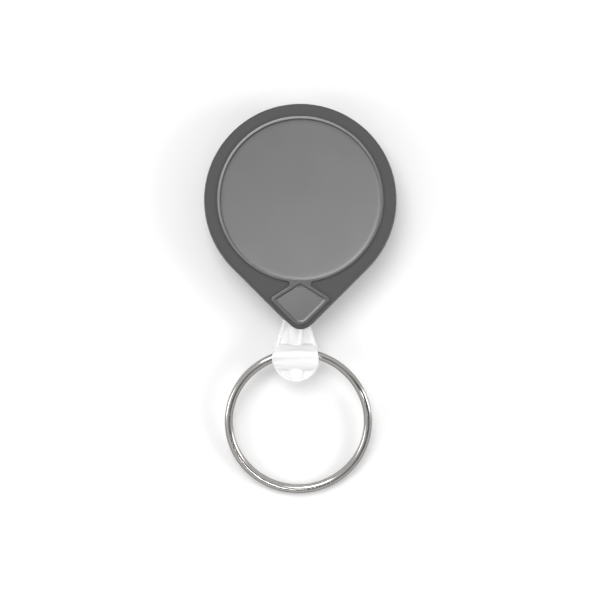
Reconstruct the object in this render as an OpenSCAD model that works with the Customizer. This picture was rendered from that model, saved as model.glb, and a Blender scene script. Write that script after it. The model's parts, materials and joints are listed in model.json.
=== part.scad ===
// Retractable key reel: teardrop case, spring drum, cord, clear ring holder, split ring, belt clip.
// It lies on its clip, front face up (+Z), with the ring towards -Y. The drum turns about the Z axis.
// Lengths called "down" are measured from the drum's axis towards the tip, along -Y.

/* [Case] */
// Radius of the round part of the case at the parting line
case_r = 18.5; // [18:0.5:26]
// Radius of the rounded tip
tip_r = 2.7; // [2.2:0.1:3.6]
// Depth of the case from its back to the raised land
case_depth = 9; // [8.9:0.1:12]
// Height of the parting line above the back
split_h = 5.1; // [4.6:0.1:5.6]
// Thickness of the back wall
back_wall = 1.4; // [1.2:0.1:1.6]
// Thickness of the front wall under the middle of the disc
front_wall = 1; // [0.8:0.1:1.2]
// Thickness of the straight side walls
side_wall = 1.6; // [1.2:0.1:2.2]
// How far the sides lean in from the parting line to the front edge
front_draft = 0.33; // [0.1:0.01:0.6]
// How far the sides lean in from the parting line to the back edge
back_draft = 0.6; // [0.2:0.05:1]
// Radius that rounds the front and back edges
edge_r = 0.4; // [0.2:0.05:0.5]

/* [Front relief] */
// Width of the rim between the case's outline and the raised land
rim_w = 2.64; // [2.2:0.02:4]
// Width of the raised land round the disc
land_w = 0.6; // [0.4:0.05:1]
// Height of the land above the rim
land_h = 0.45; // [0.3:0.05:0.6]
// Depth of the disc and kite recesses below the land
recess_h = 0.35; // [0.2:0.05:0.5]
// Extra depth of the dished disc at its centre
dish_h = 0.3; // [0.1:0.05:0.4]
// Distance from the straight sides to the kite's lower edges
kite_gap = 0.92; // [0.8:0.01:1.5]
// Half width of the kite across its corners
kite_half = 5.9; // [5:0.1:6.5]
// Width of the raised frame round the kite recess
kite_w = 0.68; // [0.5:0.02:1]

/* [Cord] */
// Length of cord that pulls out
cord_len = 900; // [500:10:1000]
// Diameter of the cord
cord_d = 1; // [0.8:0.05:1.2]
// Height of the cord's line above the back of the case
cord_h = 3.8; // [3.6:0.1:4.2]

/* [Drum] */
// Radius of the drum's flanges
drum_r = 15.2; // [14.8:0.1:16]
// Outer radius of the drum's hub
hub_r = 10.3; // [9.5:0.1:10.6]
// Thickness of the hub's wall
hub_wall = 2.2; // [2.1:0.1:2.6]
// Thickness of the drum's flanges
flange_t = 0.75; // [0.6:0.05:0.8]
// Radius of the fixed post that the drum turns on
post_r = 2.4; // [2.1:0.1:2.8]
// Radius of the rivet that goes through the post
rivet_r = 1.2; // [0.9:0.1:1.4]
// Number of turns of the power spring
spring_turns = 12; // [8:1:14]
// Thickness of the power spring's strip
spring_t = 0.12; // [0.08:0.01:0.14]

/* [Ring holder] */
// Radius of the holder's round end
holder_r = 4.5; // [4.2:0.1:5.4]
// Length of the holder
holder_len = 12; // [12:0.1:14]
// Width of the holder's narrow end
neck_w = 4.6; // [4:0.1:4.8]
// Thickness of the holder's rim from front to back
holder_t = 2.8; // [2.4:0.1:3]
// Wall of the tube round the cord's stop
cord_tube_wall = 0.42; // [0.35:0.01:0.5]
// How much the cross tube's bore opens out at its two mouths
ring_flare = 0.4; // [0.35:0.01:0.45]
// Wall of the cross tube at its mouths
ring_tube_wall = 0.45; // [0.4:0.01:0.5]
// Roll of the holder on the cord, which lifts its right side
holder_roll = 5; // [0:1:5]

/* [Split ring] */
// Outer diameter of the split ring
ring_od = 28.6; // [26:0.2:36]
// Width of the ring's wire
wire_w = 1.6; // [1.2:0.1:1.6]
// Thickness of one coil of the ring's wire
wire_t = 0.96; // [0.7:0.02:0.98]
// Gap between the ring's two coils
coil_gap = 0.04; // [0.02:0.01:0.06]
// Angle of the lower coil's cut end, from +X
ring_end = 17; // [0:1:30]
// Angle that the wire takes to cross from one coil to the other
ring_cross = 55; // [40:1:60]
// How far the ring sits to the right of the holder's middle
ring_shift = 0.4; // [0:0.05:0.4]

/* [Belt clip] */
// Width of the clip's strip
clip_w = 9; // [7:0.5:12]
// Thickness of the clip's strip
clip_t = 0.5; // [0.4:0.05:0.6]
// Gap between the clip's tongue and the back of the case
clip_gap = 1.5; // [1.4:0.1:2.5]
// Distance from the drum's axis to the clip's bend
clip_bend = 15.5; // [13:0.5:15.5]
// Distance from the drum's axis down to the tongue's tip
clip_reach = 14.5; // [13:0.5:15.5]

/* [Clearances] */
// Radial clearance of a turning fit
run_fit = 0.05; // [0.03:0.01:0.08]
// Clearance between pieces that are put together and don't move
slip_fit = 0.05; // [0.03:0.01:0.08]
// Clearance above the drum
drum_gap = 0.3; // [0.25:0.05:0.4]
// Radial clearance of the split ring in the holder
ring_play = 0.43; // [0.2:0.01:0.5]

/* [Hidden] */

$fn = 96;
eps = 0.01;
root2 = sqrt(2);
big = 60;

// Heights from the surface that the reel lies on
back_z = clip_t + clip_gap;
split_z = back_z + split_h;
land_z = back_z + case_depth;
rim_z = land_z - land_h;
recess_z = land_z - recess_h;
floor_z = back_z + back_wall;
ceiling_z = recess_z - dish_h - front_wall;
cord_z = back_z + cord_h;

// Belt clip: one strip, bent back on itself
bend_r = (clip_gap + 2 * clip_t) / 2;
clip_foot = 9;
pinch_h = 0.8;

// Outline: the two straight sides lean 45 degrees and touch the case and tip circles
tip_down = (case_r - tip_r) * root2;
side_x = case_r * root2;
land_r = case_r - rim_w;

// Drum, its washers and the winding
washer_t = 0.3;
washer_r = 6;
chamber_r = drum_r + 0.8;
drum_z = floor_z + washer_t;
drum_top = ceiling_z - drum_gap;
wind_z = drum_z + flange_t;
wind_top = drum_top - flange_t;
wind_h = wind_top - wind_z;
wind_r = sqrt(hub_r * hub_r + cord_len * cord_d * cord_d / (PI * wind_h));
cord_r = cord_d / 2;
cup_r = hub_r - hub_wall;
sleeve_h = 0.6;
sleeve_r = post_r + 0.9;
crimp_r = cord_r + 0.3;
crimp_len = 2.2;
crimp_at = hub_r - crimp_r - 0.2;
crimp_turn = 60;
spring_room = 0.25;
spring_top_gap = 0.65;
hook_w = 0.5;
hook_len = 1.1;
slot_gap = 0.1;
post_top = drum_top - 0.3;
post_slot_w = 0.4;
key_w = 3;
key_h = 0.5;
rivet_head_r = 2.1;
rivet_head_h = 0.5;
rivet_end_r = 1.9;
rivet_end_h = 0.4;

// Shell joint and screws
lip_h = 0.8;
lip_r = chamber_r + 1.25;
lip_down = chamber_r * 0.6;
screw_x = 7.6;
screw_edge = 2.96;
screw_down = side_x - screw_x - screw_edge;
boss_r = 1.5;
screw_r = 0.78;
screw_play = 0.15;
pilot_r = 0.7;
head_r = 1.35;
head_h = 0.8;
head_sink = 0.1;
driver_w = 0.3;
screw_len = 6;
screw_end = back_z + head_h + screw_len;

// Eyelet and mouth
seat_t = 2.3;
mouth_len = 4.46;
mouth_down = side_x - mouth_len;
seat_down = mouth_down - seat_t;
eye_bore_r = cord_r + 0.8;
eye_lip_r = 1;
eye_r = eye_bore_r + 0.6;
eye_flange_t = 0.5;
eye_in_r = eye_bore_r + eye_lip_r + 0.4;
eye_out_r = eye_r + 0.4;
eye_top = seat_down - eye_flange_t;
eye_end = mouth_down + eye_flange_t;
cord_touch = 0.03;
cord_x = -(eye_bore_r - cord_r - cord_touch);
mouth_gap = 0.22;
mouth_r = norm([neck_w / 2, holder_t / 2]) + mouth_gap;

// Split ring's wire: two coils, and the arc of them that lies in the holder
ring_pitch = wire_t + coil_gap;
ring_r = (ring_od - wire_w) / 2;
ring_sag = ring_r - sqrt(ring_r * ring_r - holder_r * holder_r);
ring_reach = ring_r - ring_sag / 2;
ring_arc_r = max([
    for (a = [0 : 5 : 90]) norm([(ring_sag + wire_w * cos(a)) / 2, (ring_pitch + wire_t * sin(a)) / 2])
]);

// Holder: the cross tube's bore clears the arc, and the cord's stop sits above it
neck_gap = 0.7;
neck_down = eye_end + neck_gap;
round_down = neck_down + holder_len - holder_r;
ring_bore_r = ring_arc_r + ring_play;
ring_mouth_r = ring_bore_r + ring_flare;
ring_tube_r = ring_mouth_r + ring_tube_wall;
ring_tube_down = round_down - 0.2;
bore_offset = 0.3;
pivot_down = ring_tube_down - bore_offset;
holder_rim = 0.5;
web_t = 0.7;
cord_bore_r = cord_r + 0.33;
stop_r = cord_r + 0.43;
stop_play = 0.08;
stop_len = 1.15;
stop_end_gap = 0.05;
stop_down = pivot_down - ring_bore_r - stop_len - stop_end_gap;
cord_tube_r = stop_r + stop_play + cord_tube_wall;
flare_len = 1.5;

// The mouth opens out with the holder, which can turn in it
flank_slope = tan(touch_angle([neck_w / 2, round_down - neck_down], holder_r));
tip_half = neck_w / 2 + flank_slope * (tip_down + tip_r - neck_down);
mouth_end_r = norm([tip_half, holder_t / 2]) + mouth_gap;
mouth_run = tip_down + tip_r - mouth_down;

// Lean of the ring, which turns in the cross tube and lies with its far side on the surface
ring_foot = (ring_pitch + wire_t) / 2 + eps;
ring_tilt = asin((cord_z - ring_foot) / (ring_r + ring_reach));

// Points of an arc about a centre
function arc(c, r, a0, a1, n) =
    [for (i = [0 : n]) let (a = a0 + (a1 - a0) * i / n) c + r * [cos(a), sin(a)]];

// Direction in which the line from a point p touches a circle about the origin, on its right
function touch_angle(p, r) = atan2(p[1], p[0]) - acos(r / norm(p));

// A tube with n sides swept along a list of points
function unit(v) = v / norm(v);
function heading(pts, i) =
    unit(pts[min(i + 1, len(pts) - 1)] - pts[max(i - 1, 0)]);
function ring_at(p, along, r, n) =
    let (u = unit(cross(along, [0, 0, 1])), v = cross(u, along))
        [for (k = [0 : n - 1]) p + r * (u * cos(360 * k / n) + v * sin(360 * k / n))];

module swept_tube(pts, r, n) {
    last = len(pts) - 1;
    points = [for (i = [0 : last]) each ring_at(pts[i], heading(pts, i), r, n)];
    sides = [
        for (i = [0 : last - 1], k = [0 : n - 1])
            let (j = (k + 1) % n) [i * n + k, (i + 1) * n + k, (i + 1) * n + j, i * n + j]
    ];
    start = [for (k = [0 : n - 1]) k];
    end = [for (k = [n - 1 : -1 : 0]) last * n + k];
    polyhedron(points, concat([start], sides, [end]), convexity = 6);
}

// A bar along -Y from one distance down to another
module down_bar(r, from, to, x = 0, z = 0) {
    translate([x, -from, z]) rotate([90, 0, 0]) cylinder(h = to - from, r = r);
}

module plate(z0, z1) {
    translate([0, 0, z0]) linear_extrude(z1 - z0) children();
}

// The case's outline, drawn in by an inset
module teardrop(inset) {
    q = (case_r - inset) / root2;
    t = (tip_r - inset) / root2;
    circle(case_r - inset);
    translate([0, -tip_down]) circle(tip_r - inset);
    polygon([[-q, -q], [-t, -tip_down - t], [t, -tip_down - t], [q, -q]]);
}

// Half of the case as a block that stands on the parting line, with a rounded far edge
module shell_block(h, lean) {
    steps = 4;
    round_off = [
        for (i = [0 : steps]) let (a = 90 * i / steps)
            [h - edge_r * (1 - sin(a)) - eps, lean + edge_r * (1 - cos(a))]
    ];
    hull() {
        for (s = concat([[0, 0]], round_off)) {
            translate([0, 0, s[0]]) cylinder(h = eps, r = case_r - s[1]);
            translate([0, -tip_down, s[0]]) cylinder(h = eps, r = tip_r - s[1]);
        }
    }
}

// Kite at the tip: the lower edges follow the straight sides and end in a round
module kite() {
    slope = 32;
    low = side_x - kite_gap * root2;
    corner = low - kite_half;
    top = corner - kite_half * tan(slope);
    round_r = 2.2;
    offset(r = 0.4) offset(delta = -0.4) intersection() {
        polygon([[0, -top], [-kite_half, -corner], [0, -low], [kite_half, -corner]]);
        union() {
            translate([0, -low + round_r * root2]) circle(round_r);
            translate([-big / 2, -low + round_r / root2]) square(big);
        }
    }
}

// Raised land's outer outline, with the pockets beside the neck rounded
module land_outline() {
    pocket_r = 0.57;
    offset(r = -pocket_r) offset(r = pocket_r) {
        circle(land_r);
        kite();
    }
}

module screw_places() {
    for (x = [-screw_x, screw_x]) translate([x, -screw_down, 0]) children();
}

// Room for the drum and the passage down to the eyelet, round the screws' bosses
module chamber(z0, z1) {
    difference() {
        plate(z0, z1) {
            circle(chamber_r);
            intersection() {
                teardrop(side_wall);
                translate([-big / 2, -seat_down]) square([big, seat_down - lip_down]);
            }
        }
        screw_places() cylinder(h = big, r = boss_r);
    }
}

// The eyelet's seat and the mouth, cut from both shells
module mouth_cut() {
    down_bar(eye_r + slip_fit, seat_down - 1, mouth_down + 1, 0, cord_z);
    down_bar(eye_in_r + slip_fit, eye_top - slip_fit, seat_down, 0, cord_z);
    down_bar(eye_out_r + slip_fit, mouth_down, eye_end, 0, cord_z);
    translate([cord_x, -mouth_down, cord_z]) rotate([90, 0, 0])
        cylinder(h = 2 * mouth_run, r1 = mouth_r, r2 = 2 * mouth_end_r - mouth_r);
}

module front_shell() {
    color([0.30, 0.30, 0.30]) {
        difference() {
            union() {
                translate([0, 0, split_z]) shell_block(rim_z - split_z, front_draft);
                plate(rim_z - 0.1, land_z) land_outline();
                front_lip();
            }
            dish();
            plate(recess_z, land_z + 1) offset(delta = -kite_w) kite();
            chamber(split_z - lip_h - 1, ceiling_z);
            mouth_cut();
            screw_places() cylinder(h = screw_end + 0.3, r = pilot_r);
        }
        seat_saddle();
    }
}

// Round band above the passage, where the shells' lip is
module lip_band(r, down, z0, z1) {
    plate(z0, z1) intersection() {
        circle(r);
        translate([-big / 2, -down]) square(big);
    }
}

// Lip that drops inside the back shell round the drum
module front_lip() {
    difference() {
        lip_band(lip_r - slip_fit, lip_down, split_z - lip_h, split_z + eps);
        cylinder(h = big, r = chamber_r);
    }
}

// Bridge that closes the eyelet's seat from above
module seat_saddle() {
    difference() {
        translate([-eye_r + slip_fit, -mouth_down + slip_fit, cord_z])
            cube([2 * (eye_r - slip_fit), seat_t - 2 * slip_fit, split_z - cord_z + eps]);
        down_bar(eye_r + slip_fit, seat_down - 1, mouth_down + 1, 0, cord_z);
    }
}

// Dished floor of the disc
module dish() {
    r = land_r - land_w;
    n = 8;
    curve = [for (i = [0 : n]) [r * i / n, recess_z - dish_h * (1 - pow(i / n, 2))]];
    rotate_extrude() polygon(concat(curve, [[r, land_z + 1], [0, land_z + 1]]));
}

module back_shell() {
    color([0.27, 0.27, 0.27]) difference() {
        translate([0, 0, split_z]) mirror([0, 0, 1]) shell_block(split_h, back_draft);
        chamber(floor_z, split_z + 1);
        lip_band(lip_r, lip_down + slip_fit, split_z - lip_h - slip_fit, split_z + 1);
        mouth_cut();
        translate([-eye_r, -mouth_down - eps, cord_z])
            cube([2 * eye_r, seat_t + 2 * eps, split_z - cord_z + 1]);
        plate(back_z - 1, back_z + clip_t) offset(delta = slip_fit) clip_plan(clip_foot);
        cylinder(h = floor_z + 1, r = rivet_r + slip_fit);
        plate(floor_z - key_h, floor_z + 1) square(key_w + 2 * slip_fit, center = true);
        screw_places() {
            cylinder(h = big, r = screw_r + screw_play);
            cylinder(h = back_z + head_h + slip_fit, r = head_r + screw_play);
        }
    }
}

module case_screws() {
    head_z = back_z + head_sink;
    cross = [1.8, driver_w, head_h];
    color([0.75, 0.75, 0.76]) screw_places() {
        translate([0, 0, head_z]) difference() {
            cylinder(h = head_h - head_sink, r = head_r);
            for (a = [0, 90]) rotate([0, 0, a]) cube(cross, center = true);
        }
        translate([0, 0, back_z + head_h - eps]) cylinder(h = screw_len, r = screw_r);
    }
}

module arbor_post() {
    color([0.80, 0.70, 0.45]) difference() {
        union() {
            translate([0, 0, floor_z]) cylinder(h = post_top - floor_z, r = post_r);
            translate([-key_w / 2, -key_w / 2, floor_z - key_h + slip_fit]) cube([key_w, key_w, key_h]);
        }
        cylinder(h = big, r = rivet_r + slip_fit);
        translate([rivet_r, -post_slot_w / 2, wind_z + sleeve_h]) cube([post_r, post_slot_w, big]);
    }
}

module centre_rivet() {
    color([0.78, 0.78, 0.78]) {
        translate([0, 0, back_z - rivet_head_h]) cylinder(h = rivet_head_h, r = rivet_head_r);
        translate([0, 0, back_z - eps]) cylinder(h = post_top - back_z + 2 * eps, r = rivet_r);
        translate([0, 0, post_top]) cylinder(h = rivet_end_h, r = rivet_end_r);
    }
}

module washer(z, t, bore_r) {
    color([0.93, 0.93, 0.90]) translate([0, 0, z]) difference() {
        cylinder(h = t, r = washer_r);
        translate([0, 0, -1]) cylinder(h = t + 2, r = bore_r);
    }
}

module rear_washer() {
    washer(floor_z + eps, washer_t - 2 * eps, post_r + run_fit);
}

module front_washer() {
    washer(drum_top + eps, drum_gap - 0.1, post_r + 0.2);
}

// Power spring: a strip that hooks in the post, opens out and lies against the hub's cup
module power_spring() {
    per_turn = 20;
    open_turns = 2;
    coil_step = spring_t + 0.07;
    hook_r = post_r + 0.2;
    full_r = cup_r - spring_room;
    inner_r = full_r - spring_turns * coil_step;
    n = (open_turns + spring_turns) * per_turn;
    radii = [
        for (i = [0 : n]) let (t = i / per_turn)
            t < open_turns ? hook_r + (inner_r - hook_r) * t / open_turns
                           : inner_r + coil_step * (t - open_turns)
    ];
    around = [for (i = [0 : n]) [cos(360 * i / per_turn), sin(360 * i / per_turn)]];
    outer = [for (i = [0 : n]) (radii[i] + spring_t) * around[i]];
    inner = [for (i = [n : -1 : 0]) radii[i] * around[i]];
    foot = rivet_r + 0.35;
    color([0.45, 0.47, 0.50]) plate(wind_z + sleeve_h + 0.15, wind_top - spring_top_gap) {
        polygon(concat(outer, inner));
        translate([foot, 0]) square([hook_r + spring_t / 2 - foot, spring_t]);
        translate([full_r + spring_t / 2, -spring_t]) square([hook_len, spring_t]);
    }
}

// Flanged eyelet, with a rounded lip on the side of the drum
module cord_eyelet() {
    throat = concat(
        arc([eye_bore_r + eye_lip_r, eye_lip_r], eye_lip_r, -90, -180, 6),
        [[eye_bore_r, eye_end - eye_top]]
    );
    shell = [
        [eye_out_r, eye_end - eye_top], [eye_out_r, mouth_down - eye_top + eps],
        [eye_r, mouth_down - eye_top + eps], [eye_r, eye_flange_t - eps],
        [eye_in_r, eye_flange_t - eps], [eye_in_r, 0]
    ];
    color([0.80, 0.80, 0.80]) translate([0, -eye_top, cord_z]) rotate([90, 0, 0])
        rotate_extrude() polygon(concat(throat, shell));
}

// The cord leaves the winding, rounds the eyelet's lip and comes out along -Y
wrap_r = wind_r - cord_r;
lip_c = [-(eye_bore_r + eye_lip_r), -(eye_top + eye_lip_r)];
lip_turn_r = eye_lip_r + cord_r + cord_touch;
leave_a = atan2(lip_c[1], lip_c[0]) - acos((wrap_r + lip_turn_r) / norm(lip_c));
run_end = eye_end - 0.05;

module cord_run() {
    from = wrap_r * [cos(leave_a), sin(leave_a)];
    bend = arc(lip_c, lip_turn_r, leave_a + 180, 0, 4);
    straight = [for (i = [1 : 3]) from + (bend[0] - from) * i / 4];
    route = concat([from], straight, bend, [[cord_x, -run_end]]);
    color([0.90, 0.90, 0.88]) difference() {
        swept_tube([for (p = route) [p[0], p[1], cord_z]], cord_r, 8);
        plate(wind_z, wind_top) circle(wind_r + cord_touch);
    }
}

// The hub from above, with the spring's hook slot and the crimp's pocket
module hub_plan() {
    difference() {
        circle(r = hub_r);
        circle(r = cup_r);
        translate([cup_r - hook_w, -spring_t - slot_gap]) square([hook_len + hook_w + slot_gap, hook_w]);
        rotate([0, 0, crimp_turn]) translate([crimp_at, 0]) {
            circle(r = crimp_r + slot_gap);
            translate([0, -cord_r - slot_gap / 2]) square([hub_r, cord_d + slot_gap]);
        }
    }
}

// Rear flange, hub and a short sleeve round the post
module drum() {
    color([0.15, 0.15, 0.16]) difference() {
        union() {
            plate(drum_z, wind_z) circle(r = drum_r);
            plate(drum_z, wind_top) hub_plan();
            plate(drum_z, wind_z + sleeve_h) circle(r = sleeve_r);
        }
        cylinder(h = big, r = post_r + run_fit);
    }
}

// Front flange, with a ring that presses into the hub's cup
module drum_flange() {
    plug_h = 0.5;
    plug_wall = 0.8;
    color([0.20, 0.20, 0.21]) difference() {
        union() {
            translate([0, 0, wind_top + eps]) cylinder(h = flange_t - eps, r = drum_r);
            translate([0, 0, wind_top - plug_h]) cylinder(h = plug_h + 0.1, r = cup_r - slip_fit);
        }
        cylinder(h = wind_top + eps, r = cup_r - plug_wall);
        cylinder(h = big, r = post_r + 0.3);
    }
}

// Outer shape of the cord wound on the hub
module cord_winding() {
    color([0.90, 0.90, 0.88]) translate([0, 0, wind_z + eps]) difference() {
        cylinder(h = wind_h - 2 * eps, r = wind_r);
        translate([0, 0, -1]) cylinder(h = wind_h + 2, r = hub_r + eps);
    }
}

// Crimp that holds the cord's inner end in the hub
module cord_crimp() {
    color([0.70, 0.70, 0.70]) rotate([0, 0, crimp_turn])
        translate([crimp_at, 0, wind_z + (wind_h - crimp_len) / 2]) cylinder(h = crimp_len, r = crimp_r);
}

module cord_tail() {
    color([0.90, 0.90, 0.88])
        down_bar(cord_r, run_end + eps, stop_down + stop_len - 0.1, cord_x, cord_z);
}

module cord_stop() {
    color([0.80, 0.80, 0.80]) difference() {
        down_bar(stop_r, stop_down, stop_down + stop_len, cord_x, cord_z);
        down_bar(cord_r + eps, stop_down - 1, stop_down + stop_len + 1, cord_x, cord_z);
    }
}

// Holder's outline about the cord's line, drawn in by an inset
module holder_outline(inset) {
    corner = [neck_w / 2 - inset, round_down - neck_down - inset];
    a = touch_angle(corner, holder_r - inset);
    translate([0, -round_down]) polygon(concat(
        [[-corner[0], corner[1]], corner], arc([0, 0], holder_r - inset, a, -180 - a, 40)
    ));
}

// Stepped bore for the cord and its stop, and the flared cross bore for the split ring
module holder_bores() {
    out = holder_r + 1;
    flare_end = ring_mouth_r + ring_flare / flare_len;
    translate([0, -pivot_down, 0]) rotate([90, 0, 0]) rotate_extrude() polygon([
        [0, -out], [cord_bore_r, -out], [cord_bore_r, out], [0, out]
    ]);
    translate([0, -pivot_down, 0]) rotate([0, 90, 0]) rotate_extrude() polygon([
        [0, -out], [flare_end, -out], [ring_bore_r, flare_len - holder_r],
        [ring_bore_r, holder_r - flare_len], [flare_end, out], [0, out]
    ]);
    down_bar(cord_bore_r, neck_down - 1, stop_down);
    down_bar(stop_r + stop_play, stop_down - 0.03, pivot_down);
}

module ring_holder() {
    color([0.92, 0.94, 0.95, 0.5]) translate([cord_x, 0, cord_z]) rotate([0, -holder_roll, 0]) difference() {
        intersection() {
            plate(-holder_r, holder_r) holder_outline(0);
            union() {
                difference() {
                    plate(-holder_t / 2, holder_t / 2) square(3 * big, center = true);
                    plate(-holder_t, holder_t) holder_outline(holder_rim);
                }
                plate(-web_t / 2, web_t / 2) square(2 * big, center = true);
                down_bar(cord_tube_r, neck_down - 1, round_down + holder_r + 1);
                translate([-big / 2, -ring_tube_down, 0]) rotate([0, 90, 0])
                    cylinder(h = big, r = ring_tube_r);
            }
        }
        holder_bores();
    }
}

// Oval section of the ring's wire
function wire_section(grow) =
    [for (a = [0 : 30 : 330]) [(wire_w / 2 + grow) * cos(a), (wire_t / 2 + grow) * sin(a)]];

module coil(z, a0, a1) {
    rotate([0, 0, a0]) rotate_extrude(angle = a1 - a0)
        translate([ring_r, z]) polygon(wire_section(0));
}

// Part of the wire that crosses from the lower coil to the upper coil
module crossing(a0, a1) {
    n = 14;
    section = wire_section(-eps);
    m = len(section);
    points = [
        for (i = [0 : n])
            let (a = a0 + (a1 - a0) * i / n, rise = -ring_pitch / 2 * cos(180 * i / n))
                for (p = section) [(ring_r + p[0]) * cos(a), (ring_r + p[0]) * sin(a), rise + p[1]]
    ];
    sides = [
        for (i = [0 : n - 1], k = [0 : m - 1])
            let (j = (k + 1) % m) [i * m + k, (i + 1) * m + k, (i + 1) * m + j, i * m + j]
    ];
    start = [for (k = [0 : m - 1]) k];
    end = [for (k = [m - 1 : -1 : 0]) n * m + k];
    polyhedron(points, concat([start], sides, [end]), convexity = 6);
}

module split_ring() {
    end_gap = 2;
    join = 0.5;
    upper_end = ring_end + end_gap;
    lower_end = upper_end + ring_cross;
    color([0.72, 0.72, 0.70])
        translate([cord_x + ring_shift, -pivot_down, cord_z]) rotate([ring_tilt, 0, 0])
        translate([0, -ring_reach, 0]) {
            coil(-ring_pitch / 2, lower_end, ring_end + 360);
            crossing(lower_end + join, upper_end - join);
            coil(ring_pitch / 2, lower_end + 2 * end_gap - 360, upper_end);
        }
}

// Strip seen from above: straight, with a round end down from the axis
module clip_plan(down) {
    translate([0, -down + clip_w / 2]) circle(clip_w / 2);
    translate([-clip_w / 2, -down + clip_w / 2]) square([clip_w, big]);
}

// Extrudes a side view, drawn as [up the case, height], across the strip's width
module side_view() {
    translate([-clip_w / 2, 0, 0]) rotate([90, 0, 90]) linear_extrude(clip_w) children();
}

// The bend's inner and outer edges, from one angle to another and back
function bend_edge(r, a0, a1) = arc([clip_bend, bend_r], r, a0, a1, 8);

module belt_clip() {
    strip = [[-big / 2, back_z + clip_t], [-big / 2, back_z]];
    side = concat(strip, bend_edge(bend_r - clip_t, 90, 0), bend_edge(bend_r, 0, 90));
    color([0.66, 0.67, 0.68]) difference() {
        intersection() {
            translate([0, 0, eps]) side_view() polygon(side);
            plate(0, back_z + clip_t) clip_plan(clip_foot);
        }
        cylinder(h = big, r = rivet_r + slip_fit);
    }
}

// Springy leaf that a belt goes behind: half the bend, flat, then a pinch and a lifted tip
module clip_tongue() {
    leaf = [
        [8.5 - clip_reach, 0], [5.5 - clip_reach, pinch_h * 0.6], [3.5 - clip_reach, pinch_h],
        [1.9 - clip_reach, pinch_h * 0.7], [-clip_reach, 0.15]
    ];
    top = [for (i = [len(leaf) - 1 : -1 : 0]) leaf[i] + [0, clip_t]];
    side = concat(bend_edge(bend_r, 0, -90), leaf, top, bend_edge(bend_r - clip_t, -90, 0));
    color([0.66, 0.67, 0.68]) intersection() {
        side_view() polygon(side);
        plate(-1, big) clip_plan(clip_reach);
    }
}

front_shell();
back_shell();
case_screws();
arbor_post();
centre_rivet();
rear_washer();
front_washer();
power_spring();
cord_eyelet();
cord_run();
drum();
drum_flange();
cord_winding();
cord_crimp();
cord_tail();
cord_stop();
ring_holder();
split_ring();
belt_clip();
clip_tongue();
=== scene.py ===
import json
from math import acos, atan2, ceil, cos, degrees, hypot, pi, radians, sin, sqrt, tan

import bmesh
import bpy
from mathutils import Matrix, Vector
from mathutils.geometry import tessellate_polygon


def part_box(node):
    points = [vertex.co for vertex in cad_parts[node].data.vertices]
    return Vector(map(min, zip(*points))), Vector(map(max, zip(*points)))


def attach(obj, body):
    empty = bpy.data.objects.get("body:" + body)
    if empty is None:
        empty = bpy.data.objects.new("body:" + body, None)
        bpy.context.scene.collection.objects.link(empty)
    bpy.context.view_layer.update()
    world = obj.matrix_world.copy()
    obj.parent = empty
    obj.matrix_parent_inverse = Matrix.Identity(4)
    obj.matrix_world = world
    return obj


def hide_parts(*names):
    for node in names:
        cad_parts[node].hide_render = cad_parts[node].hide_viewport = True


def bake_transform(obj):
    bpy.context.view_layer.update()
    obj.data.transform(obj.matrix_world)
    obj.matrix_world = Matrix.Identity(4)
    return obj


# Key reel with a split ring. Lengths are in millimetres until a mesh is made, then in metres.
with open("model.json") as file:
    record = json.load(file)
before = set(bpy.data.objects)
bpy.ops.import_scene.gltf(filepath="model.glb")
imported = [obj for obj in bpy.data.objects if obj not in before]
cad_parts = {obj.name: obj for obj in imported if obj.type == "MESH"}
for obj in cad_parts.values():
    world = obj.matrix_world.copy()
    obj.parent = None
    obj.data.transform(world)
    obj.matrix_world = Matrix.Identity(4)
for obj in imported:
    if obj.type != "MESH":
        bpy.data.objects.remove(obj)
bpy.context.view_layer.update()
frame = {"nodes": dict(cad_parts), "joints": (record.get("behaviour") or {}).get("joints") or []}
mm = 0.001

joints = {joint["name"]: joint for joint in frame["joints"]}
pivot = Vector(joints["ring_swing"]["pos_m"]) / mm  # middle of the cross bore
cordX, pivotDown, cordZ = pivot.x, -pivot.y, pivot.z


def box(node):
    low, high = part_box(node)
    return low / mm, high / mm


backLow, backHigh = box("back_shell")
frontLow, frontHigh = box("front_shell")
backZ, splitZ, landZ = backLow.z, backHigh.z, frontHigh.z
print("frame: case", round(frontHigh.x - frontLow.x, 2), "mm across")


# An outline is a list of arcs, (centre, radius, from angle, to angle, side), joined by straight lines.
# side is 1 where the arc bulges out and -1 where it is hollow, so one offset moves the whole outline.
def outline(arcs, offset=0.0, step=4.0):
    points = []
    for (cx, cy), radius, a0, a1, side in arcs:
        count = max(2, ceil(abs(a1 - a0) / step))
        for i in range(count + 1):
            a = radians(a0 + (a1 - a0) * i / count)
            r = radius + offset * side
            points.append((cx + r * cos(a), cy + r * sin(a)))
    return points


# A whole circle, which stops one step short of its start
def circleArcs(radius, centre=(0, 0)):
    return [(centre, radius, 0, 356, 1)]


def ring(mesh, points, z):
    return [mesh.verts.new((x * mm, y * mm, z * mm)) for x, y in points]


def bridge(mesh, lower, upper):
    n = len(lower)
    for i in range(n):
        j = (i + 1) % n
        mesh.faces.new((lower[i], lower[j], upper[j], upper[i]))


# Rings of one outline at (offset, height) pairs, bridged one to the next
def bands(mesh, arcs, levels):
    rings = [ring(mesh, outline(arcs, offset), z) for offset, z in levels]
    for lower, upper in zip(rings, rings[1:]):
        bridge(mesh, lower, upper)
    return rings


# Flat area inside the first ring and outside the others
def fillBetween(mesh, *rings):
    verts = [vert for loop in rings for vert in loop]
    for corners in tessellate_polygon([[vert.co for vert in loop] for loop in rings]):
        mesh.faces.new([verts[i] for i in corners])


# Points of a quarter round, as (run, rise) shares from (0, 0) to (1, 1)
def quarter(steps):
    return [(1 - cos(pi / 2 * i / steps), sin(pi / 2 * i / steps)) for i in range(steps + 1)]


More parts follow.
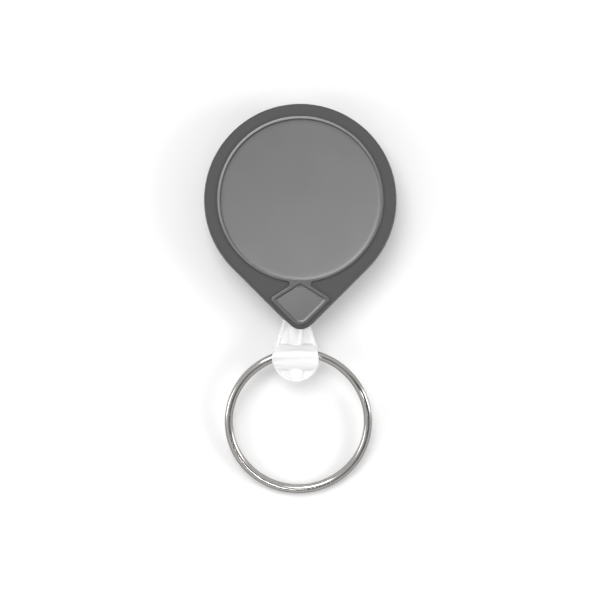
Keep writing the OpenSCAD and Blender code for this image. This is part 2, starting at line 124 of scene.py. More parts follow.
def toObject(mesh, name, sharp=32):
    bmesh.ops.remove_doubles(mesh, verts=mesh.verts, dist=2e-7)
    bmesh.ops.recalc_face_normals(mesh, faces=mesh.faces)
    data = bpy.data.meshes.new(name)
    mesh.to_mesh(data)
    mesh.free()
    obj = bpy.data.objects.new(name, data)
    bpy.context.scene.collection.objects.link(obj)
    smooth(obj, sharp)
    return obj


def smooth(obj, sharp=32):
    mesh = bmesh.new()
    mesh.from_mesh(obj.data)
    for face in mesh.faces:
        face.smooth = True
    for edge in mesh.edges:
        edge.smooth = len(edge.link_faces) == 2 and edge.calc_face_angle(0) < radians(sharp)
    mesh.to_mesh(obj.data)
    mesh.free()


# Keeps large flat faces flat beside small rounded ones
def weighted(obj):
    modifier = obj.modifiers.new("weighted", "WEIGHTED_NORMAL")
    modifier.keep_sharp = True
    modifier.weight = 80


# Turns an object's modifiers into mesh
def applyModifiers(obj):
    graph = bpy.context.evaluated_depsgraph_get()
    data = bpy.data.meshes.new_from_object(obj.evaluated_get(graph))
    obj.modifiers.clear()
    obj.data = data


def prism(name, points, z0, z1):
    mesh = bmesh.new()
    low, high = ring(mesh, points, z0), ring(mesh, points, z1)
    bridge(mesh, low, high)
    mesh.faces.new(low)
    mesh.faces.new(high)
    return toObject(mesh, name)


# A turned solid about a line along -Y, from (radius, distance down) pairs
def turned(name, profile, x, z, count=64):
    mesh = bmesh.new()
    rings = []
    around = [2 * pi * i / count for i in range(count)]
    for radius, down in profile:
        rings.append([
            mesh.verts.new(((x + radius * cos(a)) * mm, -down * mm, (z + radius * sin(a)) * mm))
            for a in around
        ])
    for lower, upper in zip(rings, rings[1:]):
        bridge(mesh, lower, upper)
    mesh.faces.new(rings[0])
    mesh.faces.new(rings[-1])
    return toObject(mesh, name)


def upright(name, radius, z0, z1, x=0.0, y=0.0):
    return prism(name, outline(circleArcs(radius, (x, y)), step=5), z0, z1)


def carve(obj, cutters):
    for cutter in cutters:
        modifier = obj.modifiers.new("carve", "BOOLEAN")
        modifier.operation = "DIFFERENCE"
        modifier.solver = "EXACT"
        modifier.object = cutter
        applyModifiers(obj)
        bpy.data.objects.remove(cutter)


# Sections swept along a path of points, with closed ends. Their side is level unless it is given.
def sweep(name, points, sections, fixedSide=None, sharp=40):
    mesh = bmesh.new()
    rings = []
    last = len(points) - 1
    for i, point in enumerate(points):
        ahead = (points[min(i + 1, last)] - points[max(i - 1, 0)]).normalized()
        side = fixedSide or ahead.cross(Vector((0, 0, 1))).normalized()
        top = side.cross(ahead)
        rings.append([mesh.verts.new((point + side * u + top * v) * mm) for u, v in sections[i]])
    for lower, upper in zip(rings, rings[1:]):
        bridge(mesh, lower, upper)
    mesh.faces.new(rings[0])
    mesh.faces.new(rings[-1])
    return toObject(mesh, name, sharp)


def roundSection(radius, count=12):
    around = [2 * pi * i / count for i in range(count)]
    return [(radius * cos(a), radius * sin(a)) for a in around]


# A socket that stands in sums; each sum adds its Math nodes
class Value:
    def __init__(self, look, socket):
        self.look = look
        self.socket = socket

    def calc(self, operation, *values):
        return self.look.add("Math", {"operation": operation}, dict(enumerate(values)))

    def __add__(self, other):
        return self.calc("ADD", self, other)

    def __sub__(self, other):
        return self.calc("SUBTRACT", self, other)

    def __rsub__(self, other):
        return self.calc("SUBTRACT", other, self)

    def __mul__(self, other):
        return self.calc("MULTIPLY", self, other)

    __radd__ = __add__
    __rmul__ = __mul__

    def clamped(self):
        return self.calc("MINIMUM", self.larger(0.0), 1.0)

    def larger(self, other):
        return self.calc("MAXIMUM", self, other)

    def sine(self):
        return self.calc("SINE", self)

    def root(self):
        return self.calc("SQRT", self)


# A material: its name, then the constants on its shader's sockets
class Look:
    def __init__(self, name, constants=None):
        self.material = bpy.data.materials.new(name)
        self.material.use_nodes = True
        self.tree = self.material.node_tree
        self.shader = self.tree.nodes["Principled BSDF"]
        for key, value in (constants or {}).items():
            self.set(key, value)

    # Any node: its settings first, then the values or links of its sockets
    def add(self, kind, settings=None, values=None, out=0):
        node = self.tree.nodes.new("ShaderNode" + kind)
        for key, value in (settings or {}).items():
            setattr(node, key, value)
        for key, value in (values or {}).items():
            self.join(value, node.inputs[key])
        return Value(self, node.outputs[out])

    def join(self, value, socket):
        if isinstance(value, Value):
            self.tree.links.new(value.socket, socket)
        else:
            socket.default_value = value

    def set(self, key, value):
        self.join(value, self.shader.inputs[key])

    def place(self):
        return self.add("TexCoord", out="Object")

    # The three coordinates in millimetres
    def xyz(self):
        node = self.tree.nodes.new("ShaderNodeSeparateXYZ")
        self.join(self.place(), node.inputs[0])
        return [Value(self, node.outputs[i]) * (1 / mm) for i in range(3)]

    # Noise with grains of about a size in millimetres, stretched by a factor on each axis
    def noise(self, size, detail=2.0, stretch=(1, 1, 1)):
        scaled = self.add("VectorMath", {"operation": "MULTIPLY"}, {0: self.place(), 1: stretch})
        return self.add("TexNoise", None, {"Vector": scaled, "Scale": 1 / (size * mm), "Detail": detail})

    def mix(self, factor, first, second):
        return self.add("Mix", {"data_type": "RGBA"}, {0: factor, 6: first, 7: second}, out=2)

    def bump(self, height, distance, strength=1.0):
        values = {"Height": height, "Distance": distance * mm, "Strength": strength}
        self.set("Normal", self.add("Bump", None, values))

    def wear(self, *pieces):
        for piece in pieces:
            piece.data.materials.clear()
            piece.data.materials.append(self.material)


def grey(value, warm=0.0):
    return (value * (1 + warm), value, value * (1 - warm), 1)


# The camera looks straight down
view = {"lens": 120, "sensor": 36, "x": -0.06, "y": -19.2, "above": 391.5}

cameraData = bpy.data.cameras.new("camera")
cameraData.lens = view["lens"]
cameraData.sensor_width = view["sensor"]
cameraData.clip_start, cameraData.clip_end = 0.01, 10
camera = bpy.data.objects.new("camera", cameraData)
camera.location = (view["x"] * mm, view["y"] * mm, view["above"] * mm)
bpy.context.scene.collection.objects.link(camera)
bpy.context.scene.camera = camera

studio = {
    "floor": 0.86,
    "lights": [
        # name, place, size and power; each looks at the reel
        ("key", (-110, 200, 645), 330, 2.0),
        ("side", (420, -60, 330), 200, 0.7),
        ("low", (-380, -120, 360), 160, 0.35),
        ("glint", (25, -215, 500), 34, 0.08),
    ],
    "aim": (0, -15, 5),
    # brightness of the room from the horizon up
    "room": [(0.0, 0.5), (0.12, 0.3), (0.26, 0.25), (0.42, 0.72), (0.7, 0.86), (1.0, 0.7)],
    # the dark gap overhead, as a direction and the cosines of its edge
    "gap": (0.15, -0.29, 0.945),
    "gapEdge": (0.935, 0.98),
    "gapTone": 0.04,
}


def areaLight(name, place, size, power):
    data = bpy.data.lights.new(name, "AREA")
    data.size = size * mm
    data.energy = power
    light = bpy.data.objects.new(name, data)
    light.location = Vector(place) * mm
    light.rotation_euler = (Vector(place) - Vector(studio["aim"])).to_track_quat("Z", "Y").to_euler()
    bpy.context.scene.collection.objects.link(light)


for light in studio["lights"]:
    areaLight(*light)


# The room around the reel: brightness by height, with a dark gap in one direction
def makeRoom():
    world = bpy.data.worlds.new("studio")
    world.use_nodes = True
    nodes, links = world.node_tree.nodes, world.node_tree.links
    place = nodes.new("ShaderNodeTexCoord").outputs["Generated"]

    split = nodes.new("ShaderNodeSeparateXYZ")
    ramp = nodes.new("ShaderNodeValToRGB")
    stops = ramp.color_ramp.elements
    for height, tone in studio["room"][1:-1]:
        stops.new(height).color = grey(tone)
    stops[0].color = grey(studio["room"][0][1])
    stops[-1].color = grey(studio["room"][-1][1])
    links.new(place, split.inputs[0])
    links.new(split.outputs["Z"], ramp.inputs[0])

    toward = nodes.new("ShaderNodeVectorMath")
    toward.operation = "DOT_PRODUCT"
    toward.inputs[1].default_value = studio["gap"]
    links.new(place, toward.inputs[0])
    edge = nodes.new("ShaderNodeMapRange")
    edge.interpolation_type = "SMOOTHSTEP"
    edge.inputs["From Min"].default_value, edge.inputs["From Max"].default_value = studio["gapEdge"]
    links.new(toward.outputs["Value"], edge.inputs["Value"])

    mix = nodes.new("ShaderNodeMix")
    mix.data_type = "RGBA"
    mix.inputs[7].default_value = grey(studio["gapTone"])
    links.new(edge.outputs[0], mix.inputs[0])
    links.new(ramp.outputs[0], mix.inputs[6])
    links.new(mix.outputs[2], nodes["Background"].inputs["Color"])
    bpy.context.scene.world = world


makeRoom()
bpy.context.scene.view_settings.view_transform = "Standard"

floorMesh = bmesh.new()
bmesh.ops.create_grid(floorMesh, x_segments=1, y_segments=1, size=3)
floor = toObject(floorMesh, "floor")
paper = {"Base Color": grey(studio["floor"]), "Roughness": 0.9, "Specular IOR Level": 0.1}
Look("floor_paper", paper).wear(floor)
print("studio: camera, floor and", len(studio["lights"]), "lights")


# The case: a teardrop in two halves, with a raised land, a dished disc and a kite at the tip
case = {
    "round": (frontHigh.x - frontLow.x) / 2,
    "tip": 2.7,
    "frontLean": 0.33,  # how far each half's side leans in
    "backLean": 0.6,
    "edge": 0.4,  # rounding of the outer edges
    "seam": 0.07,
    # rounding of the seam, as shares of its depth and heights
    "seamRound": [(1, 0), (0.3, 0.03), (0, 0.1)],
    "rim": 2.64,
    "land": 0.6,
    "landStep": 0.45,
    "recess": 0.35,
    "dish": 0.3,
    # radii of the dish's rings, as shares of the disc
    "dishRings": [0.985, 0.95, 0.9, 0.82, 0.72, 0.6, 0.46, 0.3, 0.15],
    "soft": 0.09,  # rounding of the relief's edges
    "kiteSlope": 32,
    "kiteGap": 0.92,
    "kiteHalf": 5.9,
    "kiteCorner": 0.65,
    "kiteBottom": 2.2,
    "kiteFrame": 0.68,
    "kiteFloorCorner": 0.3,
    # the kite's floor rises by this slope from this far below the axis
    "kiteRise": 0.03,
    "kiteLevel": 18.0,
    "pocket": 0.57,
}
tipDown = (case["round"] - case["tip"]) * sqrt(2)
sideReach = case["round"] * sqrt(2)
rimZ = landZ - case["landStep"]
recessZ = landZ - case["recess"]
landRadius = case["round"] - case["rim"]
discRadius = landRadius - case["land"]


def teardropArcs():
    return [((0, 0), case["round"], -45, 225, 1), ((0, -tipDown), case["tip"], 225, 315, 1)]


# The kite at the tip: corner arcs from the right corner round the bottom to the left corner
def kiteArcs(inset, corner):
    slope = radians(case["kiteSlope"])
    low = sideReach - case["kiteGap"] * sqrt(2)
    cornerDown = low - case["kiteHalf"]
    topDown = cornerDown - case["kiteHalf"] * tan(slope)
    bottomRound = case["kiteBottom"] - inset
    # the two kinds of edge, as unit normals and distances from the axis
    upper = (sin(slope), cos(slope))
    upperAt = -topDown * upper[1] - inset
    lowerAt = low / sqrt(2) - inset
    centre = meet(upper, upperAt - corner, (sqrt(0.5), -sqrt(0.5)), lowerAt - corner)
    apex = (0.0, (upperAt - corner) / upper[1])
    bottom = (0.0, -(lowerAt - bottomRound) * sqrt(2))
    up = 90 - case["kiteSlope"]
    return {
        "right": (centre, corner, up, -45, 1),
        "bottom": (bottom, bottomRound, -45, -135, 1),
        "left": ((-centre[0], centre[1]), corner, -135, -180 - up, 1),
        "apex": (apex, corner, 180 - up, up, 1),
        "upper": (upper, upperAt),
    }


# Where two lines given by a normal and a distance cross
def meet(n1, d1, n2, d2):
    det = n1[0] * n2[1] - n1[1] * n2[0]
    return ((d1 * n2[1] - d2 * n1[1]) / det, (n1[0] * d2 - n2[0] * d1) / det)


# Outline of the raised land: round, then pocket, kite and pocket, all one closed loop
def landArcs():
    kite = kiteArcs(0, case["kiteCorner"])
    normal, at = kite["upper"]
    pocket = case["pocket"]
    # the pocket's centre is a pocket radius outside both the round and the kite's upper edge
    along = (normal[1], -normal[0])
    out = at + pocket
    reach = sqrt((landRadius + pocket) ** 2 - out ** 2)
    px, py = normal[0] * out + along[0] * reach, normal[1] * out + along[1] * reach
    away = degrees(atan2(py, px))
    facing = degrees(atan2(-normal[1], -normal[0]))
    return [
        ((0, 0), landRadius, 180 - away, away, 1),
        ((px, py), pocket, away + 180, facing + 360, -1),
        kite["right"],
        kite["bottom"],
        kite["left"],
        ((-px, py), pocket, 180 - facing - 360, -away, -1),
    ]


def kiteRecessArcs():
    kite = kiteArcs(case["kiteFrame"], case["kiteFloorCorner"])
    return [kite[part] for part in ("right", "bottom", "left", "apex")]


# The hollow that both halves share, and their holes
hollow = {
    "drumRoom": 16.0,
    "ceiling": 9.35,
    "floor": 3.4,
    "wall": 1.6,
    "passageTop": 9.6,
    "seatDown": 19.403,
    "mouthDown": 21.703,
    "seat": 1.95,
    "flange": 2.75,
    "flangeDeep": 0.6,
    # the bore's end lies inside the mouth: two radii and a depth
    "boreEnd": (2.35, 1.0, 0.5),
    "mouth": (2.913, 3.525),
    "bossAt": (7.6, -15.603),
    "boss": 1.5,
    "pilot": 0.7,
    "pilotTop": 9.1,
    "screwHole": 0.93,
    "headHole": 1.5,
    "headDeep": 0.85,
    "rivetHole": 1.25,
    "rivetTop": 4.4,
    "slotFit": 0.05,
    "slotDeep": 0.5,
    "slotEnd": 30,
    "past": 1,  # how far a cutter runs past a face
}


# An upright cutter at each of the two screws
def atScrews(name, radius, z0, z1):
    x, y = hollow["bossAt"]
    return [upright(name, radius, z0, z1, side * x, y) for side in (-1, 1)]


# The room between the drum and the mouth, with the screws' bosses left standing
def passageRoom(z0, z1):
    top, seat = hollow["passageTop"], hollow["seatDown"]
    wall = outline(teardropArcs(), -hollow["wall"])
    right = [(x, y) for x, y in wall if x > 0 and -seat < y < -top]
    right.sort(key=lambda point: -point[1])
    halfTop = sqrt((case["round"] - hollow["wall"]) ** 2 - top ** 2)
    halfSeat = sideReach - hollow["wall"] * sqrt(2) - seat
    half = [(halfTop, -top)] + right + [(halfSeat, -seat)]
    passage = prism("passage", half + [(-x, y) for x, y in reversed(half)], z0, z1)
    carve(passage, atScrews("boss", hollow["boss"], z0 - hollow["past"], z1 + hollow["past"]))
    return passage


def hollowOut(obj, z0, z1):
    room = upright("room", hollow["drumRoom"], z0, z1)
    narrow, wide = hollow["mouth"]
    down, seat, past = hollow["mouthDown"], hollow["seatDown"], hollow["past"] * 2
    endWide, endNarrow, endDeep = hollow["boreEnd"]
    bore = turned("bore", [
        (hollow["flange"], seat - hollow["flangeDeep"]), (hollow["flange"], seat),
        (hollow["seat"], seat), (hollow["seat"], down),
        (endWide, down), (endWide, down + endDeep), (endNarrow, down + endDeep),
    ], 0, cordZ)
    tip = tipDown + case["tip"]
    grow = (wide - narrow) / (tip - down)
    mouth = turned("mouth", [(narrow, down), (wide + grow * past, tip + past)], cordX, cordZ)
    carve(obj, [room, passageRoom(z0, z1), bore, mouth])


# One half's outside, from the seam to its face, and its rings; the face is left open
def caseHalf(z0, z1, lean):
    mesh = bmesh.new()
    rise = 1 if z1 > z0 else -1
    edge = case["edge"]
    straight = abs(z1 - z0) - edge
    levels = [(-case["seam"] * share, z0 + rise * up) for share, up in case["seamRound"]]
    levels += [(-lean * share, z0 + rise * straight * share) for share in (0.5, 1)]
    rounded = quarter(5)[1:]
    levels += [(-lean - edge * run, z0 + rise * (straight + edge * up)) for run, up in rounded]
    rings = bands(mesh, teardropArcs(), levels)
    mesh.faces.new(rings[0])
    return mesh, rings


# The land's edge, from a soft foot on the rim to a rounded top
def makeLand(mesh):
    soft = case["soft"]
    foot = [(soft * (1 - s), rimZ + soft * (1 - sqrt(1 - s * s))) for s in (0, 0.5, 0.85, 1)]
    top = [(-soft * run, landZ - soft * (1 - up)) for run, up in quarter(3)]
    return bands(mesh, landArcs(), foot + top + [(-soft * 1.8, landZ)])


# The step down to the disc, and its dished floor
def makeDisc(mesh):
    soft = case["soft"]
    step = [(soft * out, landZ + soft * up) for out, up in ((1.6, 0), (0.8, 0), (0.25, -0.2), (0, -0.8))]
    disc = bands(mesh, circleArcs(discRadius), step + [(0, recessZ + 0.06), (-0.05, recessZ + 0.012)])
    last = disc[-1]
    for share in case["dishRings"]:
        z = recessZ - case["dish"] * (1 - share * share)
        loop = ring(mesh, outline(circleArcs(discRadius * share)), z)
        bridge(mesh, last, loop)
        last = loop
    centre = mesh.verts.new((0, 0, (recessZ - case["dish"]) * mm))
    for i, vert in enumerate(last):
        mesh.faces.new((vert, last[(i + 1) % len(last)], centre))
    return disc


# The kite's recess; its floor rises a little towards the tip
def makeKite(mesh):
    edge = [(0.16, landZ), (0.09, landZ), (0.025, landZ - 0.03), (0, landZ - 0.1)]
    floorEdge = [(0, recessZ + 0.07), (-0.03, recessZ + 0.02), (-0.1, recessZ), (-0.2, recessZ)]
    kite = bands(mesh, kiteRecessArcs(), edge + floorEdge)
    for loop in kite[len(edge):]:
        for vert in loop:
            vert.co.z += case["kiteRise"] * (-vert.co.y - case["kiteLevel"] * mm)
    fillBetween(mesh, kite[-1])
    return kite


def frontCase():
    mesh, rings = caseHalf(splitZ, rimZ, case["frontLean"])
    land, disc, kite = makeLand(mesh), makeDisc(mesh), makeKite(mesh)
    fillBetween(mesh, rings[-1], land[0])
    fillBetween(mesh, land[-1], disc[0], kite[0])
    obj = toObject(mesh, "front_case")
    below = splitZ - hollow["past"]
    hollowOut(obj, below, hollow["ceiling"])
    carve(obj, atScrews("pilot", hollow["pilot"], below, hollow["pilotTop"]))
    smooth(obj)
    weighted(obj)
    return obj


# The belt clip, whose foot lies in a slot of the back half
clip = {
    "width": 9.0,
    "thick": 0.5,
    "gap": 1.5,
    "bend": 15.5,
    "foot": 9.0,
    "reach": 14.5,
    "hump": 8.5,  # length of the hump before the tongue's end
    "pinch": 0.8,
    "pinchAt": 0.6,  # as a share of the hump
    "tipLift": 0.15,
    "edge": 0.1,
}


def slotPlan():
    half = clip["width"] / 2 + hollow["slotFit"]
    foot = [((0, -clip["foot"] + clip["width"] / 2), half, -180, 0, 1)]
    return outline(foot, step=6) + [(half, hollow["slotEnd"]), (-half, hollow["slotEnd"])]


def backCase():
    mesh, rings = caseHalf(splitZ, backZ, case["backLean"])
    mesh.faces.new(rings[-1])
    obj = toObject(mesh, "back_case")
    below, above = backZ - hollow["past"], splitZ + hollow["past"]
    hollowOut(obj, hollow["floor"], above)
    slot = prism("slot", slotPlan(), below, backZ + hollow["slotDeep"])
    rivet = upright("rivet_hole", hollow["rivetHole"], below, hollow["rivetTop"])
    screws = atScrews("screw_hole", hollow["screwHole"], below, above)
    heads = atScrews("head_hole", hollow["headHole"], below, backZ + hollow["headDeep"])
    carve(obj, [slot, rivet] + screws + heads)
    smooth(obj)
    weighted(obj)
    return obj


# Each finish has two tones, mixed by a faint cloud
plasticFinish = {
    "matte": (0.052, 0.060),
    "satin": (0.118, 0.132),
    "matteRough": 0.66,
    "satinRough": 0.22,
    "sheen": 0.62,
    "edge": 20,  # sharpness of the change between the two
    "spark": 0.11,
    "sparkHeight": 0.02,
}


# Dark moulded plastic: a fine spark texture on the rim and sides, satin on the land, disc and kite
def casePlastic():
    finish = plasticFinish
    look = Look("case_plastic", {"IOR": 1.5})
    x, y, z = look.xyz()
    inDisc = (landRadius + 0.05 - (x * x + y * y).root()) * finish["edge"]
    onLand = (z - (rimZ + 0.03)) * finish["edge"]
    nearFace = ((z - (rimZ - 0.8)) * 4).clamped()
    satin = inDisc.larger(onLand).clamped() * nearFace
    cloud = look.noise(6, 3)
    grain = look.noise(finish["spark"])
    tones = [look.mix(cloud, grey(dark), grey(light)) for dark, light in (finish["matte"], finish["satin"])]
    look.set("Base Color", look.mix(satin, *tones))
    drop = finish["matteRough"] - finish["satinRough"]
    look.set("Roughness", finish["matteRough"] - satin * drop + cloud * 0.03)
    look.set("Metallic", satin * finish["sheen"])
    look.bump(grain * (1 - satin * 0.85), finish["sparkHeight"], 0.5)
    return look


front = frontCase()
back = backCase()
casePlastic().wear(front, back)
for piece, node in ((front, "front_shell"), (back, "back_shell")):
    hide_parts(node)
    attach(piece, "case")
print("case: two halves,", len(front.data.polygons) + len(back.data.polygons), "faces")


# The split ring: two coils of oval wire that cross once
splitRing = {
    "outer": box("split_ring")[1].x - box("split_ring")[0].x,
    "wire": 1.6,
    "thick": 0.96,
    "square": 2.1,  # 2 is an ellipse, more is squarer
    "pitch": 1.0,
    # places round the ring, in degrees
    "cutEnd": 17,
    "crossAfter": 2,
    "cross": 55,
    "overlap": 4,
    "step": 1.6,
    "nip": 0.25,
    "nipSize": 0.93,  # a share of the wire
    # how it hangs in the holder
    "shift": 0.4,
    "tilt": 10.4124,
    "reach": 13.108,
}


# A rounded oval, a little squarer than an ellipse
def wireSection(size, count=36):
    power = 2 / splitRing["square"]
    points = []
    for u, v in roundSection(1, count):
        across = abs(u) ** power * (1 if u > 0 else -1)
        up = abs(v) ** power * (1 if v > 0 else -1)
        points.append((across * splitRing["wire"] / 2 * size, up * splitRing["thick"] / 2 * size))
    return points


def makeSplitRing():
    radius = (splitRing["outer"] - splitRing["wire"]) / 2
    start = splitRing["cutEnd"] + 360
    crossStart = splitRing["cutEnd"] + splitRing["crossAfter"] + splitRing["cross"]
    stop = crossStart + splitRing["overlap"] - 360
    count = int((start - stop) / splitRing["step"])
    between = [start + (stop - start) * i / count for i in range(1, count)]
    # a smaller section at each end takes the edge off the cuts
    angles = [start, start - splitRing["nip"]] + between + [stop + splitRing["nip"], stop]
    points = []
    for a in angles:
        share = min(1, max(0, (crossStart - a) / splitRing["cross"]))
        rise = -splitRing["pitch"] / 2 * cos(pi * share)
        points.append(Vector((radius * cos(radians(a)), radius * sin(radians(a)), rise)))
    cut = wireSection(splitRing["nipSize"])
    sections = [cut] + [wireSection(1)] * (len(angles) - 2) + [cut]
    obj = sweep("key_ring", points, sections, sharp=50)
    lean = Matrix.Rotation(radians(splitRing["tilt"]), 4, "X")
    place = Matrix.Translation(Vector((cordX + splitRing["shift"], -pivotDown, cordZ)) * mm)
    obj.data.transform(place @ lean @ Matrix.Translation((0, -splitRing["reach"] * mm, 0)))
    return obj


# Bright nickel plate, with faint drawing marks and a little haze
def nickelPlate(name, tone, warm=0.03):
    look = Look(name, {"Metallic": 1.0})
    haze = look.noise(1.6, 3)
    scratch = look.noise(0.12)
    look.set("Base Color", look.mix(haze, grey(tone, warm), grey(tone * 0.93, warm)))
    look.set("Roughness", 0.10 + haze * 0.08)
    look.bump(scratch, 0.002, 0.15)
    return look


keyRing = makeSplitRing()
nickelPlate("nickel_wire", 0.47).wear(keyRing)
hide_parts("split_ring")
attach(keyRing, "ring")
print("split ring:", len(keyRing.data.polygons), "faces")


# The holder that joins the cord to the ring
holder = {
    "voxel": 0.075,
    "rounds": 5,
    "keep": 0.4,
    "clear": 0.62,
    # strength of the painted glow, a faint emission on the clear plastic
    "paintedGlow": 0.07,
}


# The moulding's edges and inner corners are softened from its own solid
def makeHolder():
    data = frame["nodes"]["ring_holder"].data.copy()
    obj = bpy.data.objects.new("clear_holder", data)
    bpy.context.scene.collection.objects.link(obj)
    remesh = obj.modifiers.new("voxels", "REMESH")
    remesh.mode = "VOXEL"
    remesh.voxel_size = holder["voxel"] * mm
    soften = obj.modifiers.new("soften", "SMOOTH")
    soften.factor = 0.5
    soften.iterations = holder["rounds"]
    lighten = obj.modifiers.new("lighten", "DECIMATE")
    lighten.ratio = holder["keep"]
    applyModifiers(obj)
    smooth(obj, 60)
    return obj


# Clear polished plastic, with a faint painted glow all over so that it reads bright; the glow is no lamp
def clearPlastic():
    look = Look("clear_plastic", {"IOR": 1.42})
    look.set("Transmission Weight", holder["clear"])
    # Painted glow: a faint white emission stands in for light gathered in the clear plastic
    look.set("Emission Strength", holder["paintedGlow"])
    flow = look.noise(1.2)
    look.set("Base Color", look.mix(flow, grey(0.98), grey(1.0)))
    look.set("Emission Color", look.mix(flow, grey(0.9), grey(1.0)))
    look.set("Roughness", 0.03 + flow * 0.05)
    look.bump(flow, 0.01, 0.2)
    return look


clearHolder = makeHolder()
clearPlastic().wear(clearHolder)
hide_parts("ring_holder")
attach(clearHolder, "holder")
print("holder:", len(clearHolder.data.polygons), "faces")


# The cord: its lead from the drum to the stop, and its turns on the hub
cord = {
    "thick": 1.0,
    "slack": 0.1,  # between the winding and the cord that leaves it
    "lip": 1.0,
    "lipGap": 0.03,
    "eyeTop": 18.903,
    "eyeBore": 1.3,
    "neckDown": 22.903,
    "stopEnd": 28.0,
    "hub": 10.3,
    "windFrom": 4.47,
    "windTo": 8.28,
    "layers": 4,
    "turnsInLayer": 3,
    "turnGap": 0.03,
    # rings on each stretch of the lead, and on each turn
    "rings": {"straight": 12, "bend": 10, "tail": 60, "turn": 48},
}
cordRadius = cord["thick"] / 2
windingRadius = box("cord_winding")[1].x


# Straight from the winding to the eyelet's lip, round the lip, then down to the stop
def leadPath():
    rings = cord["rings"]
    start = windingRadius + cordRadius + cord["slack"]
    lip = Vector((-cord["eyeBore"] - cord["lip"], -cord["eyeTop"] - cord["lip"], cordZ))
    turn = cord["lip"] + cordRadius + cord["lipGap"]
    leave = atan2(lip.y, lip.x) - acos((start + turn) / hypot(lip.x, lip.y))
    first = Vector((start * cos(leave), start * sin(leave), cordZ))
    around = [(leave + pi) * (1 - i / rings["bend"]) for i in range(rings["bend"] + 1)]
    bend = [lip + turn * Vector((cos(a), sin(a), 0)) for a in around]
    straight = [first.lerp(bend[0], i / rings["straight"]) for i in range(rings["straight"])]
    last = bend[-1]
    down = cord["stopEnd"] + last.y
    tail = [last - Vector((0, down * i / rings["tail"], 0)) for i in range(1, rings["tail"] + 1)]
    return straight + bend + tail


# The cord's turns on the hub: each layer runs back over the one below
def windingPath():
    width = cord["windTo"] - cord["windFrom"] - cord["thick"]
    layers, inLayer, steps = cord["layers"], cord["turnsInLayer"], cord["rings"]["turn"]
    outer = windingRadius - cordRadius
    inner = cord["hub"] + cordRadius
    points = []
    for i in range(layers * inLayer * steps + 1):
        turn = i / steps
        laid = turn / inLayer
        layer = min(int(laid), layers - 1)
        part = laid - layer
        along = part if layer % 2 == 0 else 1 - part
        r = inner + (outer - inner) * min(1, laid / (layers - 0.5))
        a = 2 * pi * turn
        points.append(Vector((r * cos(a), r * sin(a), cord["windFrom"] + cordRadius + width * along)))
    return points


# Braided nylon: two sets of strands that cross round the cord, with painted shading in the grooves between
# them
def braidedNylon():
    look = Look("cord_nylon")
    x, y, z = look.xyz()
    around = look.add("Math", {"operation": "ARCTAN2"}, {0: z - cordZ, 1: x - cordX})
    one = (around * 4 + y * 7).sine()
    two = (around * 4 - y * 7).sine()
    strand = one.larger(two)
    fluff = look.noise(0.15, 3)
    # Painted shading: the colour is darker in the grooves between the strands and lighter on their crests
    grooveShading = (strand * 0.4 + 0.5).clamped()
    look.set("Base Color", look.mix(grooveShading, grey(0.62, 0.01), grey(0.84, 0.01)))
    look.set("Roughness", 0.55 + fluff * 0.2)
    look.bump(strand + fluff * 0.5, 0.05, 0.7)
    return look


route = leadPath()
lead = sweep("cord", route, [roundSection(cordRadius)] * len(route))
turns = windingPath()
winding = sweep("wound_cord", turns, [roundSection(cordRadius - cord["turnGap"], 8)] * len(turns))
braidedNylon().wear(lead, winding)
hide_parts("cord_run", "cord_tail")
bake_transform(lead)
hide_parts("cord_winding")
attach(winding, "drum")
print("cord:", len(route), "rings on the lead and", len(turns), "on the drum")


# A flat strip's section with rounded corners
def stripSection(half):
    edge = min(clip["edge"], half * 0.5)
    h = clip["thick"] / 2
    points = []
    for i, (right, up) in enumerate([(1, 1), (-1, 1), (-1, -1), (1, -1)]):
        centre = (right * (half - edge), up * (h - edge))
        points += outline([(centre, edge, 90 * i, 90 * i + 90, 1)], step=45)
    return points


# The strip's middle line, from the foot along the back, round the bend and under to the tongue's tip
def clipPath():
    half = clip["thick"] / 2
    upper, middle = clip["thick"] + clip["gap"] + half, clip["thick"] + clip["gap"] / 2
    foot, bend, hump = -clip["foot"], clip["bend"], clip["hump"]
    footRound = clip["width"] / 2
    points = [(foot, upper)]
    points += [(foot + footRound * (1 - cos(radians(a))), upper) for a in range(8, 91, 9)]
    points += [(foot + footRound + (bend - foot - footRound) * i / 8, upper) for i in range(1, 9)]
    points += outline([((bend, middle), upper - middle, 90, -90, 1)], step=5.625)[1:]
    humpStart = hump - clip["reach"]
    points += [(bend - (bend - humpStart) * i / 8, half) for i in range(1, 9)]
    # a smooth hump to the pinch, then down to the lifted tip
    pinch, crest, lift = clip["pinch"], clip["pinchAt"], clip["tipLift"]
    for i in range(1, 25):
        share = i / 24
        rise = pinch * sin(pi / 2 * share / crest) ** 2
        if share >= crest:
            rise = lift + (pinch - lift) * (0.5 + 0.5 * cos(pi * (share - crest) / (1 - crest)))
        points.append((humpStart - hump * share, half + rise))
    return points


def makeClip():
    path = clipPath()
    half = clip["width"] / 2
    sections = []
    for i, (y, z) in enumerate(path):
        end = -clip["foot"] if i < len(path) / 2 else -clip["reach"]
        inside = min(half, max(0.02, y - end))
        sections.append(stripSection(sqrt(half * half - (half - inside) ** 2)))
    points = [Vector((0, y, z)) for y, z in path]
    return sweep("steel_clip", points, sections, fixedSide=Vector((1, 0, 0)), sharp=50)


# Brushed stainless steel; the brushing runs along the strip
def brushedSteel(tone=0.56):
    look = Look("clip_steel", {"Metallic": 1.0})
    brush = look.noise(0.12, 3, (1, 0.04, 1))
    cloud = look.noise(5)
    look.set("Base Color", look.mix(brush, grey(tone * 0.85, -0.01), grey(tone * 1.12, -0.01)))
    look.set("Roughness", 0.24 + brush * 0.16 + cloud * 0.05)
    look.bump(brush, 0.01, 0.4)
    return look


steelClip = makeClip()
brushedSteel().wear(steelClip)
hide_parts("belt_clip", "clip_tongue")
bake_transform(steelClip)
print("clip:", len(steelClip.data.polygons), "faces")


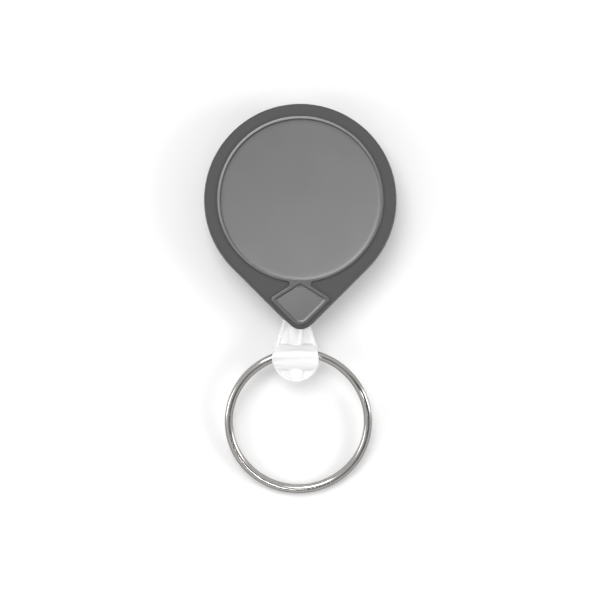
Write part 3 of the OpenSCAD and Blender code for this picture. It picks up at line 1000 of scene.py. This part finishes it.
# Turned brass, with the tool's marks round it
def turnedBrass():
    look = Look("post_brass", {"Metallic": 1.0})
    marks = (look.xyz()[2] * 60).sine() * 0.5 + 0.5
    cloud = look.noise(2, 3)
    look.set("Base Color", look.mix(cloud, (0.72, 0.52, 0.22, 1), (0.80, 0.62, 0.30, 1)))
    look.set("Roughness", 0.25 + cloud * 0.15)
    look.bump(marks, 0.01, 0.3)
    return look


def mouldedNylon(name, dark, light, rough):
    look = Look(name)
    cloud = look.noise(3, 3)
    grain = look.noise(0.2)
    look.set("Base Color", look.mix(cloud, dark, light))
    look.set("Roughness", rough + grain * 0.1)
    look.bump(grain, 0.015, 0.4)
    return look


# Spring steel, from temper blue to straw, ground along the strip
def bluedSteel():
    look = Look("spring_steel", {"Metallic": 1.0})
    temper = look.noise(4)
    grind = look.noise(0.1, 2, (1, 1, 0.1))
    look.set("Base Color", look.mix(temper, (0.16, 0.20, 0.32, 1), (0.34, 0.32, 0.30, 1)))
    look.set("Roughness", 0.22 + grind * 0.15)
    look.bump(grind, 0.006, 0.3)
    return look


# Zinc plate with a faint spangle
def zincPlate():
    look = Look("screw_steel", {"Metallic": 1.0})
    spangle = look.noise(0.5, 3)
    look.set("Base Color", look.mix(spangle, (0.50, 0.52, 0.55, 1), (0.66, 0.67, 0.66, 1)))
    look.set("Roughness", 0.28 + spangle * 0.2)
    look.bump(spangle, 0.01, 0.25)
    return look


# The works in the case and the holder keep their shapes, and get finishes and softened edges
works = {
    "rounding": 0.08,
    "sprung": "power_spring",  # too thin to be rounded
    "finishes": [
        (turnedBrass(), ("arbor_post",)),
        (nickelPlate("rivet_nickel", 0.68), ("centre_rivet", "cord_eyelet", "cord_crimp", "cord_stop")),
        (zincPlate(), ("case_screws",)),
        (mouldedNylon("drum_nylon", grey(0.020), grey(0.034), 0.42), ("drum", "drum_flange")),
        (mouldedNylon("washer_nylon", grey(0.70, 0.02), grey(0.80, 0.02), 0.38),
         ("rear_washer", "front_washer")),
        (bluedSteel(), ("power_spring",)),
    ],
}

for look, names in works["finishes"]:
    for name in names:
        node = frame["nodes"][name]
        node.data.materials.clear()
        node.data.materials.append(look.material)
        if name != works["sprung"]:
            rounding = node.modifiers.new("rounding", "BEVEL")
            rounding.width = works["rounding"] * mm
            rounding.segments = 2
            rounding.limit_method = "ANGLE"
            rounding.angle_limit = radians(40)
print("works:", sum(len(names) for look, names in works["finishes"]), "nodes finished")
